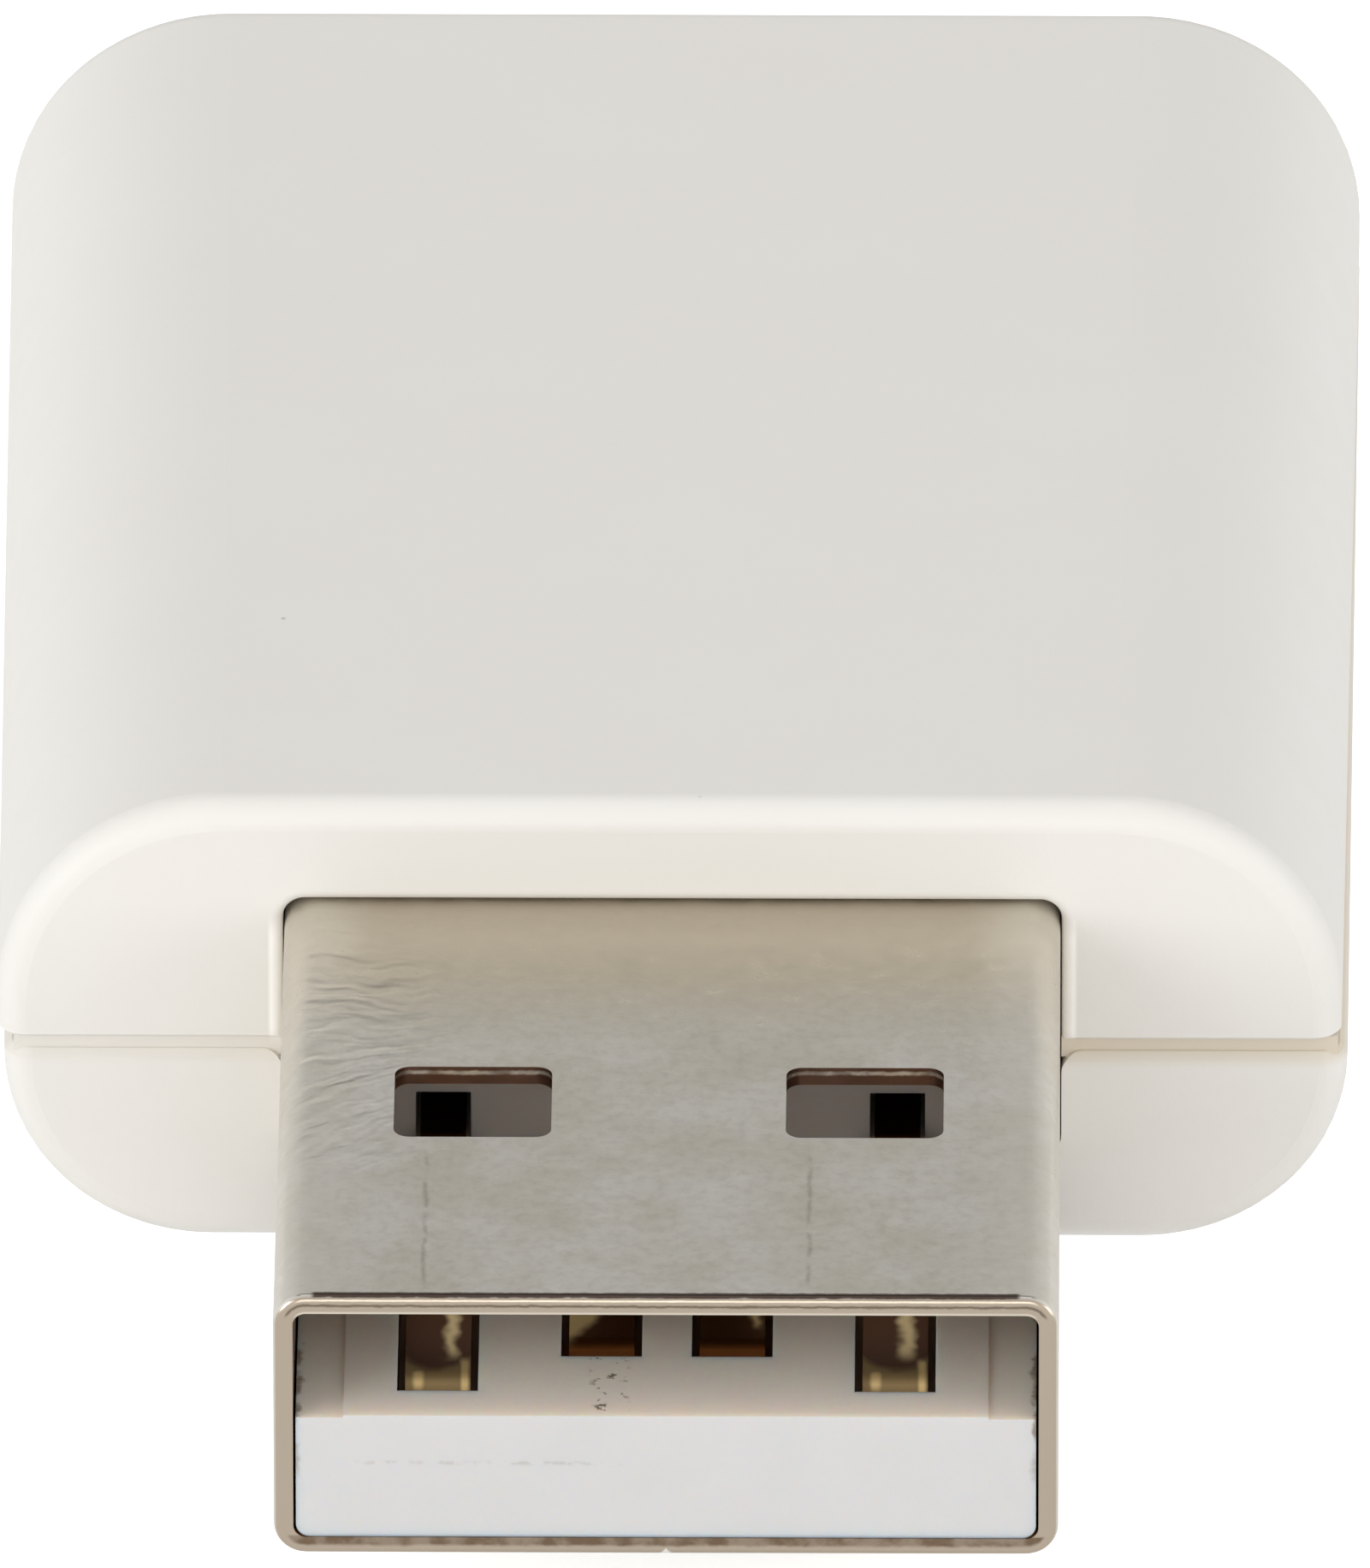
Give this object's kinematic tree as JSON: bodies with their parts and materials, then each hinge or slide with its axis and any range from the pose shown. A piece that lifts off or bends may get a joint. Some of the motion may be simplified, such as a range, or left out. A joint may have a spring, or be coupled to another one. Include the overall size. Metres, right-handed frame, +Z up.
{
  "type": "signal repeater",
  "caption": "Small plug-in radio signal repeater: a white rounded housing split by a seam, with a folded metal USB plug at its front end.",
  "frame": {"origin": "under the middle of the whole object, on the surface that it lies on", "axes": "+Z up; -Y out of the plug's mouth, +Y to the back of the housing; +X to the right, seen from the plug"},
  "size_m": [0.0214, 0.0394, 0.0077],
  "materials": {
    "housing": "fine satin moulded ABS, warm white",
    "plug_metal": "satin nickel plate on rolled steel",
    "carrier_plastic": "plain moulded, cool white",
    "gold_contact": "thin gold plate, semi-gloss",
    "board_laminate": "green solder mask",
    "module_laminate": "dark solder mask",
    "solder": "bright tin solder",
    "tinned_sheet": "tinned steel",
    "chip_case": "black moulding compound",
    "capacitor_ceramic": "tan ceramic with tinned ends",
    "ferrite": "dark grey sintered ferrite"
  },
  "bodies": {
    "root": {"upper_shell": "housing", "lower_shell": "housing", "plug_shell": "plug_metal", "contact_carrier": "carrier_plastic", "power_contact": "gold_contact", "data_minus_contact": "gold_contact", "data_plus_contact": "gold_contact", "ground_contact": "gold_contact", "circuit_board": "board_laminate", "contact_solder": "solder", "leg_solder": "solder", "radio_module_board": "module_laminate", "module_solder": "solder", "shield_can": "tinned_sheet", "radio_chip": "chip_case", "module_crystal": "tinned_sheet", "antenna_track": "gold_contact", "module_capacitors": "capacitor_ceramic", "supply_capacitors": "capacitor_ceramic", "data_resistors": "chip_case", "ferrite_bead": "ferrite", "surge_arrester": "chip_case", "voltage_regulator": "chip_case"}
  },
  "joints": []
}
